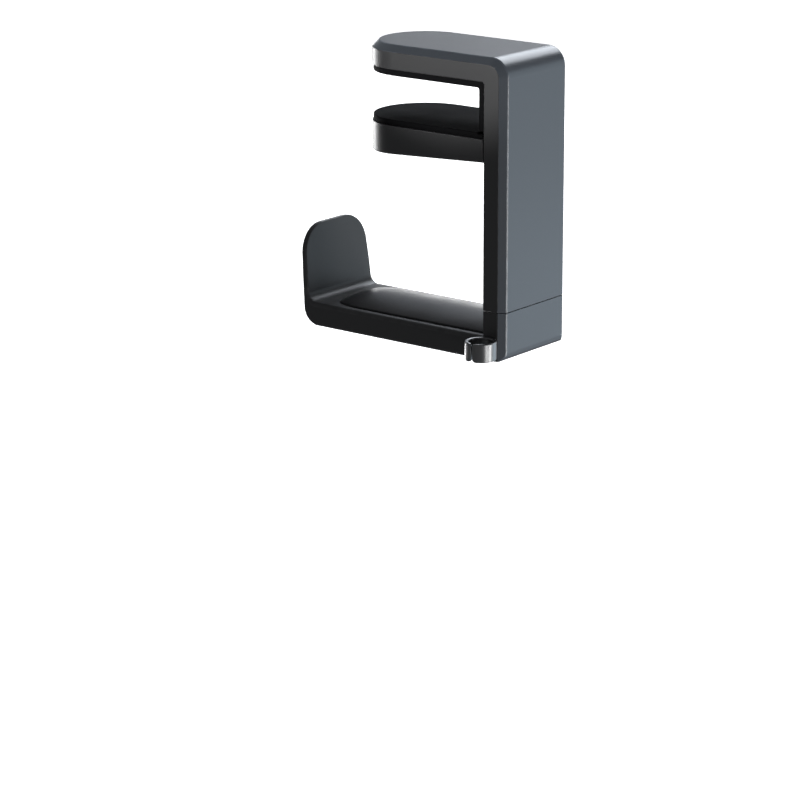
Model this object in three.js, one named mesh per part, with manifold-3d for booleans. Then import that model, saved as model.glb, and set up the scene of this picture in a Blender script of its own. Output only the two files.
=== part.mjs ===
// Desk-edge headphone hook: a spring-loaded C clamp with a hook that swivels under it.
// Millimetres, +Z up. The origin is on the underside of the upper pad, where the clamp
// rests on a desk top. The desk lies towards -X, and the spine's outer face looks along +X.

import * as THREE from 'three';
import { mergeVertices } from 'three/addons/utils/BufferGeometryUtils.js';
import Module from 'manifold-3d';

const wasm = await Module();
wasm.setup();

// ---------------------------------------------------------------- driving dimensions

const WIDTH = 44;
const HALF = WIDTH / 2;
const OUTER_X = 45; // outer face of the spine
const TOP_Z = 12.5; // top face of the upper arm
const ARM_THICK = 10;
const SPINE_DEPTH = 10.25;
const ARM_LENGTH = 78.5; // from the outer face to the tip of the round nose
const CORNER_R = 8;
const CHAMFER = 2.75;
const PAD_THICK = 2.5;
const LINER_THICK = 2.75;
const DESK_THICK = 18; // opening between the pads when the jaw is closed
const JAW_TRAVEL = 22;
const LOWER_FACE_X = 31.5; // where the lower pad's face ends, clear of the lining above it
const LOWER_STEP = 0.75;
const SEAM_Z = -90.5; // bottom of the spine, where the swivelling base begins
const SEAM_GAP = 0.5;
const BASE_Z = -111.25; // underside of the whole hook
const BASE_EDGE_R = 4; // outer bottom edge of the swivel base
const WALL = 2;
const FLOOR_WALL = 1.75; // wall of the housing that faces the desk
const FIT = 0.25; // clearance between loose neighbours

const SPINE_X = OUTER_X - SPINE_DEPTH; // inner face of the spine
const ARM_Z = TOP_Z - ARM_THICK; // underside of the arm's housing
const NOSE_X = OUTER_X - ARM_LENGTH + HALF; // centre of the round nose
const BEND_X = OUTER_X - CORNER_R;
const BEND_Z = TOP_Z - CORNER_R;
const RIM_X = OUTER_X - CHAMFER; // joint face between outer cover and housing

const ROD_X = 39.75; // guide rods, springs and swivel bolt share this depth in the spine
const ROD_Y = 16.25;
const ROD_R = 1.25;
const SLIDER_TOP = -18;
const SLIDER_BOTTOM = -34;
const PIVOT_BLOCK_TOP = -82;
const FRAME_OUT_X = OUTER_X - 2.25; // outer and inner face of the steel frame in the spine
const FRAME_IN_X = OUTER_X - 4.25;
const FRAME_TOP = TOP_Z - 2.25;
const FRAME_UNDER = TOP_Z - 4.25;

const BEAM_TOP = -101.25;
const SADDLE_CREST = -97.5;
const SADDLE_HALF = 18.25;
const SADDLE_TIP_X = -48;
const SADDLE_SIDES = 14;
const PADDLE_TOP = -69.5;
const PADDLE_THICK = 2.75;
const PADDLE_LEAN = THREE.MathUtils.degToRad(6);
const PADDLE_FOOT = { x: -60.5, z: -101 }; // a point on the paddle's outer face
const PADDLE_CORNER_R = 13;
const PADDLE_HALF = 20.25; // at the height of its round corners
const HEEL_R = 7.5; // outer bottom corner of the hook
const THROAT_R = 4; // inside curve from the saddle up to the paddle

const CLIP = { x: 39, y: -28.75, outer: 6.5, inner: 5, bottom: -108.75, top: -101 };
const CLIP_GAP_HALF = THREE.MathUtils.degToRad(10); // half the angle of its mouth
const CLIP_SCREW_Z = -104.75;

const COVER_THICK = 2.5; // plate under the hook
const COVER_END_X = OUTER_X - BASE_EDGE_R - 1.5; // leaves a lip beside the rounded edge

const SCREW = { shank: 1.5, head: 2.75, headHeight: 1.5, socket: 1.25, socketDepth: 0.9 };
const HOLE_R = SCREW.shank + FIT;
const HEAD_HOLE_R = SCREW.head + FIT;

const FRAME_ARM_SCREW = { x: 0, y: 10 };
const FRAME_SPINE_SCREW = { y: 6, z: -77 };
const JAW_SCREW = { y: 7, z: -26 };
const STIFFENER_SCREW = { x: [-12, 14], y: 0 };
const CORE_SCREW_X = [-22, 12];
const COVER_SCREW = { x: [-34, 22], y: 16 };

// ---------------------------------------------------------------- materials

function finish(color, roughness, metalness) {
  return new THREE.MeshStandardMaterial({ color, roughness, metalness });
}

const slateShell = finish(0x565c62, 0.5, 0.1);
const darkPlastic = finish(0x2e3033, 0.55, 0);
const hookPlastic = finish(0x2b2c2f, 0.5, 0);
const rubber = finish(0x141516, 0.9, 0);
const saddleRubber = finish(0x2a2a2c, 0.65, 0);
const glossBlack = finish(0x0c0c0d, 0.15, 0);
const steel = finish(0x9a9da1, 0.35, 1);
const zinc = finish(0x85888c, 0.5, 0.9);
const acetal = finish(0xd9d7cf, 0.5, 0);

// ---------------------------------------------------------------- solids

/** Turns a closed three.js geometry into a solid that can be joined and cut. */
function solid(geometry) {
  const bare = geometry.index ? geometry.clone() : geometry;
  bare.deleteAttribute('normal');
  bare.deleteAttribute('uv');
  const merged = mergeVertices(bare, 1e-4);
  const mesh = new wasm.Mesh({
    numProp: 3,
    vertProperties: new Float32Array(merged.attributes.position.array),
    triVerts: new Uint32Array(merged.index.array),
  });
  return new wasm.Manifold(mesh);
}

/** Turns a solid back into a geometry. */
function geometryOf(body) {
  const mesh = body.getMesh();
  const geometry = new THREE.BufferGeometry();
  geometry.setAttribute('position', new THREE.BufferAttribute(mesh.vertProperties, 3));
  geometry.setIndex(new THREE.BufferAttribute(mesh.triVerts, 1));
  geometry.computeVertexNormals();
  return geometry;
}

function joined(bodies) {
  return bodies.reduce((whole, body) => whole.add(body));
}

function cut(body, tools) {
  return tools.reduce((rest, tool) => rest.subtract(tool), body);
}

function block(x, y, z) {
  const box = new THREE.BoxGeometry(x[1] - x[0], y[1] - y[0], z[1] - z[0]);
  box.translate((x[0] + x[1]) / 2, (y[0] + y[1]) / 2, (z[0] + z[1]) / 2);
  return solid(box);
}

/** A round bar from z0 to z1. */
function barZ(x, y, z0, z1, radius, sides = 16) {
  const bar = new THREE.CylinderGeometry(radius, radius, z1 - z0, sides);
  bar.rotateX(Math.PI / 2);
  bar.translate(x, y, (z0 + z1) / 2);
  return solid(bar);
}

/** A round bar from x0 to x1. */
function barX(x0, x1, y, z, radius, sides = 16) {
  const bar = new THREE.CylinderGeometry(radius, radius, x1 - x0, sides);
  bar.rotateZ(Math.PI / 2);
  bar.translate((x0 + x1) / 2, y, z);
  return solid(bar);
}

/** A round bar from y0 to y1. */
function barY(x, y0, y1, z, radius, sides = 16) {
  const bar = new THREE.CylinderGeometry(radius, radius, y1 - y0, sides);
  bar.translate(x, (y0 + y1) / 2, z);
  return solid(bar);
}

/** Points on an arc, both ends included. Angles are in degrees. */
function arc(cx, cy, radius, from, to, steps) {
  const points = [];
  for (let i = 0; i <= steps; i += 1) {
    const angle = THREE.MathUtils.degToRad(from + ((to - from) * i) / steps);
    points.push(new THREE.Vector2(cx + radius * Math.cos(angle), cy + radius * Math.sin(angle)));
  }
  return points;
}

function point(x, y) {
  return new THREE.Vector2(x, y);
}

/** Extrudes an outline of (x, y) points upwards. */
function extrudeZ(points, z0, z1) {
  const options = { depth: z1 - z0, bevelEnabled: false };
  const geometry = new THREE.ExtrudeGeometry(new THREE.Shape(points), options);
  geometry.translate(0, 0, z0);
  return solid(geometry);
}

/** Extrudes an outline of (x, z) points across the width, from -halfWidth to halfWidth. */
function extrudeY(points, halfWidth) {
  const options = { depth: 2 * halfWidth, bevelEnabled: false };
  const geometry = new THREE.ExtrudeGeometry(new THREE.Shape(points), options);
  geometry.rotateX(Math.PI / 2);
  geometry.translate(0, halfWidth, 0);
  return solid(geometry);
}

/** Extrudes an outline of (y, z) points along X. */
function extrudeX(points, x0, x1) {
  const options = { depth: x1 - x0, bevelEnabled: false };
  const geometry = new THREE.ExtrudeGeometry(new THREE.Shape(points), options);
  geometry.rotateX(Math.PI / 2);
  geometry.rotateZ(Math.PI / 2);
  geometry.translate(x0, 0, 0);
  return solid(geometry);
}

/** Joins equal convex rings of points into one closed solid with flat ends. */
function loft(rings) {
  const size = rings[0].length;
  const positions = rings.flat().flatMap((corner) => corner.toArray());
  const faces = [];
  for (let ring = 0; ring < rings.length - 1; ring += 1) {
    for (let side = 0; side < size; side += 1) {
      const a = ring * size + side;
      const b = ring * size + ((side + 1) % size);
      faces.push(a, b, b + size, a, b + size, a + size);
    }
  }
  const last = (rings.length - 1) * size;
  for (let side = 1; side < size - 1; side += 1) {
    faces.push(0, side + 1, side);
    faces.push(last, last + side, last + side + 1);
  }
  const geometry = new THREE.BufferGeometry();
  geometry.setAttribute('position', new THREE.Float32BufferAttribute(positions, 3));
  geometry.setIndex(faces);
  return solid(geometry);
}

// ---------------------------------------------------------------- shared outlines

/** Plan of the arm and of the jaw: straight sides and a half-round nose. */
function plan(inset, endX) {
  const half = HALF - inset;
  return [...arc(NOSE_X, 0, half, 90, 270, 24), point(endX, -half), point(endX, half)];
}

/**
 * Side profile of an L shell around the outer corner. Depths are measured in from the
 * outer face and the top face, and insideR rounds the shell's inner corner.
 */
function lProfile({ outer, arm, spine, insideR, tipX, endZ }) {
  const innerX = OUTER_X - spine;
  const innerZ = TOP_Z - arm;
  return [
    point(tipX, TOP_Z - outer),
    point(tipX, innerZ),
    ...arc(innerX - insideR, innerZ - insideR, insideR, 90, 0, 6),
    point(innerX, endZ),
    point(OUTER_X - outer, endZ),
    ...arc(BEND_X, BEND_Z, CORNER_R - outer, 0, 90, 10),
  ];
}

// ---------------------------------------------------------------- upper clamp

/** L-shaped cover with a chamfer along both long edges and round the nose. */
function outerCover() {
  const flat = HALF - CHAMFER;
  const section = [[CHAMFER, HALF], [0, flat], [0, -flat], [CHAMFER, -HALF]];
  const stations = arc(BEND_X, BEND_Z, CORNER_R, 90, 0, 10).map((at, i) => ({
    at,
    inward: THREE.MathUtils.degToRad(270 - 9 * i),
  }));
  stations.unshift({ at: point(NOSE_X, TOP_Z), inward: THREE.MathUtils.degToRad(270) });
  stations.push({ at: point(OUTER_X, SEAM_Z), inward: Math.PI });
  const rings = stations.map(({ at, inward }) => section.map(([depth, y]) => new THREE.Vector3(
    at.x + depth * Math.cos(inward),
    y,
    at.y + depth * Math.sin(inward),
  )));
  const cone = new THREE.CylinderGeometry(flat, HALF, CHAMFER, 48);
  cone.rotateX(Math.PI / 2);
  cone.translate(NOSE_X, 0, TOP_Z - CHAMFER / 2);
  const recess = { outer: 1.75, arm: 4, spine: 4, insideR: 4, tipX: -40, endZ: SEAM_Z - 1 };
  const pocket = extrudeY(lProfile(recess), HALF - 3);
  const pocketPlan = extrudeZ(plan(3, OUTER_X), SEAM_Z - 1, TOP_Z);
  return loft(rings).add(solid(cone)).subtract(pocket.intersect(pocketPlan));
}

/** Main moulding: side walls, the wall that faces the desk, bosses and rod seats. */
function mainHousing() {
  const outside = {
    outer: CHAMFER, arm: ARM_THICK, spine: SPINE_DEPTH, insideR: 1, tipX: -40, endZ: SEAM_Z,
  };
  const inside = {
    outer: 0, arm: ARM_THICK - FLOOR_WALL, spine: SPINE_DEPTH - FLOOR_WALL, insideR: 1, tipX: -40,
    endZ: SEAM_Z - 1,
  };
  const shell = extrudeY(lProfile(outside), HALF)
    .intersect(extrudeZ(plan(0, OUTER_X), SEAM_Z - 1, TOP_Z));
  const hollow = extrudeY(lProfile(inside), HALF - WALL)
    .intersect(extrudeZ(plan(WALL, OUTER_X), SEAM_Z - 2, TOP_Z));
  const slot = block([SPINE_X - 1, SPINE_X + 3], [-11.5, 11.5], [-30 - JAW_TRAVEL, -21]);
  const bosses = [-1, 1].map((side) => barZ(
    FRAME_ARM_SCREW.x, side * FRAME_ARM_SCREW.y, ARM_Z + 1, FRAME_UNDER, 3,
  ));
  const pilots = [-1, 1].map((side) => barZ(
    FRAME_ARM_SCREW.x, side * FRAME_ARM_SCREW.y, ARM_Z + 2.25, FRAME_UNDER + 1, HOLE_R,
  ));
  const seats = [-1, 1].map((side) => block(
    [SPINE_X + 1, OUTER_X - 3], [side > 0 ? 14 : -HALF + 1, side > 0 ? HALF - 1 : -14], [-15, -11],
  ));
  const rodHoles = [-1, 1].map((side) => barZ(ROD_X, side * ROD_Y, -16, -10, ROD_R + FIT));
  const body = joined([shell.subtract(hollow), ...bosses, ...seats]);
  return cut(body, [slot, ...pilots, ...rodHoles]);
}

/** One rubber lining under the arm and down the spine, rounded in its inner corner. */
function upperPad() {
  const lining = {
    outer: ARM_THICK,
    arm: ARM_THICK + PAD_THICK,
    spine: SPINE_DEPTH + LINER_THICK,
    insideR: 1,
    tipX: -40,
    endZ: -DESK_THICK + 0.5,
  };
  const innerX = OUTER_X - lining.spine;
  const profile = [
    point(lining.tipX, ARM_Z),
    point(lining.tipX, 0),
    ...arc(innerX - lining.insideR, -lining.insideR, lining.insideR, 90, 0, 6),
    point(innerX, lining.endZ),
    point(SPINE_X, lining.endZ),
    ...arc(SPINE_X - 1, ARM_Z - 1, 1, 0, 90, 6),
  ];
  return extrudeY(profile, HALF - 0.5).intersect(extrudeZ(plan(0.5, SPINE_X), -30, ARM_Z + 1));
}

/** Bent steel strip that carries the load from the arm down to the swivel. */
function steelFrame() {
  const strip = {
    outer: 2.25, arm: 4.25, spine: 4.25, insideR: CORNER_R - 4.25, tipX: -22, endZ: -81.5,
  };
  const trims = [-1, 1].map((side) => block(
    [BEND_X - 1, OUTER_X], [side > 0 ? 10.5 : -20, side > 0 ? 20 : -10.5], [-90, -2],
  ));
  const armHoles = [-1, 1].flatMap((side) => [
    barZ(FRAME_ARM_SCREW.x, side * FRAME_ARM_SCREW.y, 0, TOP_Z, HOLE_R),
    barZ(FRAME_ARM_SCREW.x, side * FRAME_ARM_SCREW.y, FRAME_TOP - 1.75, TOP_Z, HEAD_HOLE_R),
  ]);
  const spineHoles = [-1, 1].flatMap((side) => [
    barX(30, OUTER_X, side * FRAME_SPINE_SCREW.y, FRAME_SPINE_SCREW.z, HOLE_R),
    barX(FRAME_OUT_X - 1.75, OUTER_X, side * FRAME_SPINE_SCREW.y, FRAME_SPINE_SCREW.z, HEAD_HOLE_R),
  ]);
  return cut(extrudeY(lProfile(strip), 15), [...trims, ...armHoles, ...spineHoles]);
}

/** Cast block at the foot of the spine. It holds the rods and the swivel bolt. */
function pivotBlock() {
  const foot = block([SPINE_X + 2, OUTER_X - 2], [-18.75, 18.75], [SEAM_Z, PIVOT_BLOCK_TOP]);
  const tongue = block([SPINE_X + 2, FRAME_IN_X], [-10, 10], [PIVOT_BLOCK_TOP - 1, -72]);
  const rods = [-1, 1].map((side) => barZ(
    ROD_X, side * ROD_Y, PIVOT_BLOCK_TOP - 3, PIVOT_BLOCK_TOP + 1, ROD_R + FIT,
  ));
  const screws = [-1, 1].map((side) => barX(
    FRAME_IN_X - 3, FRAME_IN_X + 1, side * FRAME_SPINE_SCREW.y, FRAME_SPINE_SCREW.z, HOLE_R,
  ));
  const thread = barZ(ROD_X, 0, SEAM_Z - 1, SEAM_Z + 6.5, 2 + FIT);
  return cut(foot.add(tongue), [...rods, ...screws, thread]);
}

function guideRod() {
  return barZ(0, 0, PIVOT_BLOCK_TOP - 2.75, -11.5, ROD_R, 16);
}

/** Helix of a compression spring around the Z axis. */
class SpringPath extends THREE.Curve {
  constructor(radius, turns, z0, z1) {
    super();
    this.radius = radius;
    this.turns = turns;
    this.z0 = z0;
    this.z1 = z1;
  }

  getPoint(t, target = new THREE.Vector3()) {
    const angle = 2 * Math.PI * this.turns * t;
    return target.set(
      this.radius * Math.cos(angle),
      this.radius * Math.sin(angle),
      this.z0 + (this.z1 - this.z0) * t,
    );
  }
}

function jawSpring() {
  const wireR = 0.4;
  const turns = 11;
  const path = new SpringPath(
    2.4, turns, PIVOT_BLOCK_TOP + wireR + 0.1, SLIDER_BOTTOM - wireR - 0.1,
  );
  const wire = new THREE.Shape(arc(0, 0, wireR, 0, 288, 4));
  return solid(new THREE.ExtrudeGeometry(wire, { steps: turns * 9, extrudePath: path }));
}

// ---------------------------------------------------------------- sliding jaw

const JAW_TOP = -DESK_THICK - PAD_THICK;
const JAW_BACK = SPINE_X - FIT;
const JAW_SLOPE = 0.05;
const JAW_INSET = 1.75;

/** Height of the jaw's underside, which drops towards the nose. */
function jawUnderside(x) {
  return -30 - (SPINE_X - x) * JAW_SLOPE;
}

function jawProfile(topZ, rise, backX) {
  return [
    point(-40, topZ),
    point(-40, jawUnderside(-40) + rise),
    point(backX, jawUnderside(backX) + rise),
    point(backX, topZ),
  ];
}

/** Jaw moulding, hollow from below. */
function lowerJaw() {
  const outside = extrudeY(jawProfile(JAW_TOP, 0, JAW_BACK), HALF)
    .intersect(extrudeZ(plan(0, JAW_BACK), -50, 0));
  const inside = extrudeY(jawProfile(JAW_TOP - 2.5, -5, JAW_BACK - JAW_INSET), HALF - JAW_INSET)
    .intersect(extrudeZ(plan(JAW_INSET, JAW_BACK - JAW_INSET), -50, 0));
  const backHoles = [-1, 1].map((side) => barX(
    20, 40, side * JAW_SCREW.y, JAW_SCREW.z, HOLE_R,
  ));
  const roofHoles = STIFFENER_SCREW.x.map((x) => barZ(
    x, STIFFENER_SCREW.y, -30, JAW_TOP - 1, HOLE_R,
  ));
  return cut(outside, [inside, ...backHoles, ...roofHoles]);
}

function lowerPad() {
  const step = block([LOWER_FACE_X, SPINE_X], [-HALF, HALF], [-DESK_THICK - LOWER_STEP, 0]);
  return extrudeZ(plan(0.5, JAW_BACK - FIT), JAW_TOP, -DESK_THICK).subtract(step);
}

/** Cover plate that closes the jaw's underside. */
function jawCover() {
  const back = JAW_BACK - JAW_INSET;
  const tool = extrudeZ(plan(JAW_INSET, back), -50, 0);
  const profile = [
    point(-40, jawUnderside(-40) + 1.5),
    point(-40, jawUnderside(-40)),
    point(back, jawUnderside(back)),
    point(back, jawUnderside(back) + 1.5),
  ];
  return extrudeY(profile, HALF - JAW_INSET).intersect(tool);
}

/** Steel angle under the jaw's roof, screwed to the slider through the jaw's back wall. */
function jawStiffener() {
  const roof = JAW_TOP - 2.5;
  const back = JAW_BACK - JAW_INSET;
  const plate = block([-22, back], [-13, 13], [roof - 2, roof]);
  const flange = block([back - 2, back], [-13, 13], [-28.25, roof - 1]);
  const backHoles = [-1, 1].map((side) => barX(20, 40, side * JAW_SCREW.y, JAW_SCREW.z, HOLE_R));
  const holes = STIFFENER_SCREW.x.map((x) => barZ(x, STIFFENER_SCREW.y, -40, 0, HOLE_R));
  return cut(plate.add(flange), [...backHoles, ...holes]);
}

/** Carriage inside the spine, with a neck through the slot to the jaw. */
function jawSlider() {
  const middle = block([SPINE_X + 2, SPINE_X + 5.5], [-12.5, 12.5], [SLIDER_BOTTOM, SLIDER_TOP]);
  const ears = [-1, 1].map((side) => block(
    [SPINE_X + 2, OUTER_X - 3], [side > 0 ? 12 : -19.5, side > 0 ? 19.5 : -12],
    [SLIDER_BOTTOM, SLIDER_TOP],
  ));
  const neck = block([JAW_BACK, SPINE_X + 3], [-11, 11], [-29.5, -21.5]);
  const rods = [-1, 1].map((side) => barZ(ROD_X, side * ROD_Y, -40, -10, ROD_R + FIT));
  const screws = [-1, 1].flatMap((side) => [
    barX(30, 45, side * JAW_SCREW.y, JAW_SCREW.z, HOLE_R),
    barX(SPINE_X + 3.75, 45, side * JAW_SCREW.y, JAW_SCREW.z, HEAD_HOLE_R),
  ]);
  return cut(joined([middle, ...ears, neck]), [...rods, ...screws]);
}

// ---------------------------------------------------------------- swivelling hook

/** Point where the paddle's outer face, moved in by depth, meets a corner arc's centre. */
function paddleArcCentre(depth, radius, centreZ) {
  const across = depth + radius - (centreZ - PADDLE_FOOT.z) * Math.sin(PADDLE_LEAN);
  return PADDLE_FOOT.x + across / Math.cos(PADDLE_LEAN);
}

/** X of the paddle's face at a height, moved in from the outer face by depth. */
function paddleFaceX(depth, z) {
  return PADDLE_FOOT.x + depth / Math.cos(PADDLE_LEAN)
    - (z - PADDLE_FOOT.z) * Math.tan(PADDLE_LEAN);
}

/** Side profile of the swivel base, the arm and the upturned paddle. */
function hookProfile() {
  const leanDeg = THREE.MathUtils.radToDeg(PADDLE_LEAN);
  const throatZ = BEAM_TOP + THROAT_R;
  const heelZ = BASE_Z + HEEL_R;
  return [
    ...arc(OUTER_X - BASE_EDGE_R, BASE_Z + BASE_EDGE_R, BASE_EDGE_R, -90, 0, 8),
    point(OUTER_X, SEAM_Z - SEAM_GAP),
    point(SPINE_X, SEAM_Z - SEAM_GAP),
    point(SPINE_X, BEAM_TOP),
    ...arc(paddleArcCentre(PADDLE_THICK, THROAT_R, throatZ), throatZ, THROAT_R, 270, 180 + leanDeg, 12),
    point(paddleFaceX(PADDLE_THICK, PADDLE_TOP), PADDLE_TOP),
    point(paddleFaceX(0, PADDLE_TOP), PADDLE_TOP),
    ...arc(paddleArcCentre(0, HEEL_R, heelZ), heelZ, HEEL_R, 180 + leanDeg, 270, 8),
  ];
}

/** Front outline of the paddle: slightly tapered, with large round top corners. */
function paddleOutline() {
  const cornerZ = PADDLE_TOP - PADDLE_CORNER_R;
  const cornerY = PADDLE_HALF - PADDLE_CORNER_R;
  return [
    point(-HALF, BASE_Z - 10),
    point(HALF, BASE_Z - 10),
    point(HALF, BEAM_TOP),
    ...arc(cornerY, cornerZ, PADDLE_CORNER_R, 0, 90, 10),
    ...arc(-cornerY, cornerZ, PADDLE_CORNER_R, 90, 180, 10),
    point(-HALF, BEAM_TOP),
  ];
}

/** Hook moulding: swivel base, arm and paddle in one piece, hollow from below. */
function hookArm() {
  const rough = extrudeY(hookProfile(), HALF);
  const paddleTrim = block([-80, -30], [-30, 30], [BEAM_TOP, -60])
    .subtract(extrudeX(paddleOutline(), -90, -20));
  const chamfers = [-1, 1].map((side) => extrudeZ(
    side > 0
      ? [point(RIM_X, HALF), point(OUTER_X, HALF - CHAMFER), point(OUTER_X + 1, HALF + 1)]
      : [point(RIM_X, -HALF), point(OUTER_X + 1, -HALF - 1), point(OUTER_X, -HALF + CHAMFER)],
    BASE_Z - 1, SEAM_Z,
  ));
  const arm = block([-50, COVER_END_X], [-HALF + WALL, HALF - WALL], [BASE_Z - 1, BEAM_TOP - WALL]);
  const base = block(
    [SPINE_X + FLOOR_WALL, OUTER_X - WALL], [-HALF + WALL, HALF - WALL],
    [BASE_Z + COVER_THICK, SEAM_Z - 4.5],
  );
  const corners = [-1, 1].map((side) => block(
    [OUTER_X - 3, OUTER_X], [side > 0 ? HALF - 3 : -HALF, side > 0 ? HALF : -HALF + 3],
    [BASE_Z + COVER_THICK, SEAM_Z],
  ));
  const headRoom = barZ(ROD_X, 0, BASE_Z + COVER_THICK + 1, SEAM_Z - 4.5, 4.25, 20);
  const hollow = arm.add(base).subtract(joined(corners)).add(headRoom);
  const bosses = COVER_SCREW.x.flatMap((x) => [-1, 1].map((side) => barZ(
    x, side * COVER_SCREW.y, BASE_Z + COVER_THICK, BEAM_TOP - 1, 3,
  )));
  const pilots = COVER_SCREW.x.flatMap((x) => [-1, 1].map((side) => barZ(
    x, side * COVER_SCREW.y, BASE_Z, BEAM_TOP - 2.5, HOLE_R,
  )));
  const coreBosses = CORE_SCREW_X.map((x) => barZ(x, 0, -104, BEAM_TOP - 1, 3));
  const corePilots = CORE_SCREW_X.map((x) => barZ(x, 0, -105, BEAM_TOP - 1, HOLE_R));
  const pivotHole = barZ(ROD_X, 0, SEAM_Z - 6, SEAM_Z, 3.5);
  const washerSeat = barZ(ROD_X, 0, SEAM_Z - 1, SEAM_Z, 4.25);
  const clipHole = barY(CLIP.x, -HALF - 1, -HALF + 5, CLIP_SCREW_Z, 2);
  const body = cut(rough, [paddleTrim, ...chamfers, hollow]);
  return cut(joined([body, ...bosses, ...coreBosses]), [
    ...pilots, ...corePilots, pivotHole, washerSeat, clipHole,
  ]);
}

/** Height of the saddle's convex section above its foot, at a distance from its middle. */
function saddleHeight(y, halfWidth, crest) {
  const radius = (halfWidth ** 2 + crest ** 2) / (2 * crest);
  return crest - radius + Math.sqrt(radius ** 2 - y ** 2);
}

/** Convex rubber saddle on the arm. Its tip fades down and narrows towards the paddle. */
function saddlePad() {
  const crest = SADDLE_CREST - BEAM_TOP;
  const tip = 12;
  const steps = 8;
  const stations = [{ x: SPINE_X - FIT, narrow: 1 }];
  for (let i = 0; i <= steps; i += 1) {
    const along = Math.sin((Math.PI / 2) * (i / steps));
    stations.push({
      x: SADDLE_TIP_X + tip * (1 - along),
      narrow: Math.sqrt(1 - (0.97 * along) ** 2),
    });
  }
  const rings = stations.map(({ x, narrow }) => {
    const half = SADDLE_HALF * (0.75 + 0.25 * narrow);
    const ring = [];
    for (let i = 0; i <= SADDLE_SIDES; i += 1) {
      const y = -half * Math.cos((Math.PI * i) / SADDLE_SIDES);
      ring.push(new THREE.Vector3(x, y, BEAM_TOP + saddleHeight(y, half, crest * narrow)));
    }
    return ring;
  });
  return loft(rings);
}

/** Flat steel bar that stiffens the arm. */
function hookCore() {
  const bar = block([-44, 36], [-12, 12], [-106.25, -104]);
  return cut(bar, CORE_SCREW_X.map((x) => barZ(x, 0, -110, -100, HOLE_R)));
}

/** Plate that closes the hook from below, with a counterbored hole for each screw. */
function hookCover() {
  const plate = block(
    [-50 + FIT, COVER_END_X - FIT], [-HALF + WALL + FIT, HALF - WALL - FIT],
    [BASE_Z, BASE_Z + COVER_THICK],
  );
  const holes = COVER_SCREW.x.flatMap((x) => [-1, 1].flatMap((side) => [
    barZ(x, side * COVER_SCREW.y, BASE_Z - 1, BASE_Z + SCREW.headHeight, HEAD_HOLE_R),
    barZ(x, side * COVER_SCREW.y, BASE_Z - 1, BASE_Z + COVER_THICK + 1, HOLE_R),
  ]));
  return cut(plate, holes);
}

/** Turned ring around the Z axis. */
function ring(inner, outer, z0, z1, sides = 20) {
  const profile = [
    point(inner, z0), point(outer, z0), point(outer, z1), point(inner, z1), point(inner, z0),
  ];
  const lathe = new THREE.LatheGeometry(profile, sides);
  lathe.rotateX(Math.PI / 2);
  return solid(lathe);
}

/** Thin ring with three waves, which gives the swivel its friction. */
function waveWasher() {
  const thick = 0.4;
  const profile = [
    point(2.75, 0), point(3.5, 0), point(3.5, thick), point(2.75, thick), point(2.75, 0),
  ];
  const lathe = new THREE.LatheGeometry(profile, 24);
  lathe.rotateX(Math.PI / 2);
  const place = lathe.attributes.position;
  for (let i = 0; i < place.count; i += 1) {
    const angle = Math.atan2(place.getY(i), place.getX(i));
    place.setZ(i, place.getZ(i) + 0.3 * Math.sin(3 * angle));
  }
  return solid(lathe);
}

/** Shoulder bolt: head below, plain shoulder through the base, thread into the block. */
function pivotBolt() {
  const profile = [
    point(0, -8.5), point(3.75, -8.5), point(3.75, -6), point(2.5, -6), point(2.5, 0), point(2, 0),
    point(2, 5.5), point(1.5, 6), point(0, 6),
  ];
  const lathe = new THREE.LatheGeometry(profile, 20);
  lathe.rotateX(Math.PI / 2);
  const socket = barZ(0, 0, -9, -7, 1.75, 6);
  return solid(lathe).subtract(socket);
}

/** Open C ring beside the base, with a foot and a stud through the base's wall. */
function cableClip() {
  const mouth = THREE.MathUtils.radToDeg(CLIP_GAP_HALF);
  const tipR = (CLIP.outer - CLIP.inner) / 2;
  const midR = (CLIP.outer + CLIP.inner) / 2;
  const from = -90 + mouth;
  const to = 270 - mouth;
  const tip = (angle) => {
    const turn = THREE.MathUtils.degToRad(angle);
    return [CLIP.x + midR * Math.cos(turn), CLIP.y + midR * Math.sin(turn)];
  };
  const outline = [
    ...arc(CLIP.x, CLIP.y, CLIP.outer, from, to, 28),
    ...arc(...tip(to), tipR, to, to + 180, 6).slice(1, -1),
    ...arc(CLIP.x, CLIP.y, CLIP.inner, to, from, 28),
    ...arc(...tip(from), tipR, from + 180, from + 360, 6).slice(1, -1),
  ];
  const foot = block([CLIP.x - 2.5, CLIP.x + 2.5], [CLIP.y + 5.5, -HALF], [CLIP.bottom, CLIP.top]);
  const stud = barY(CLIP.x, CLIP.y + 5.5, -HALF + WALL, CLIP_SCREW_Z, 1.75);
  const pilot = barY(CLIP.x, -HALF - 0.5, -HALF + WALL + 1, CLIP_SCREW_Z, 1);
  const body = joined([extrudeZ(outline, CLIP.bottom, CLIP.top), foot, stud]);
  return body.subtract(pilot);
}

// ---------------------------------------------------------------- screws

/** Socket screw that stands on the XY plane: head above, shank below. */
function screw(shankR, length) {
  const profile = [
    point(0, -length), point(shankR, -length), point(shankR, 0), point(SCREW.head, 0),
    point(SCREW.head, SCREW.headHeight), point(0, SCREW.headHeight),
  ];
  const lathe = new THREE.LatheGeometry(profile, 12);
  lathe.rotateX(Math.PI / 2);
  const top = SCREW.headHeight;
  const socket = barZ(0, 0, top - SCREW.socketDepth, top + 1, SCREW.socket, 6);
  return solid(lathe).subtract(socket);
}

// ---------------------------------------------------------------- assembly

const assembly = new THREE.Group();

function addPart(name, body, material, place = [0, 0, 0]) {
  const mesh = new THREE.Mesh(geometryOf(body), material);
  mesh.name = name;
  mesh.position.set(...place);
  assembly.add(mesh);
  return mesh;
}

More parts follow.
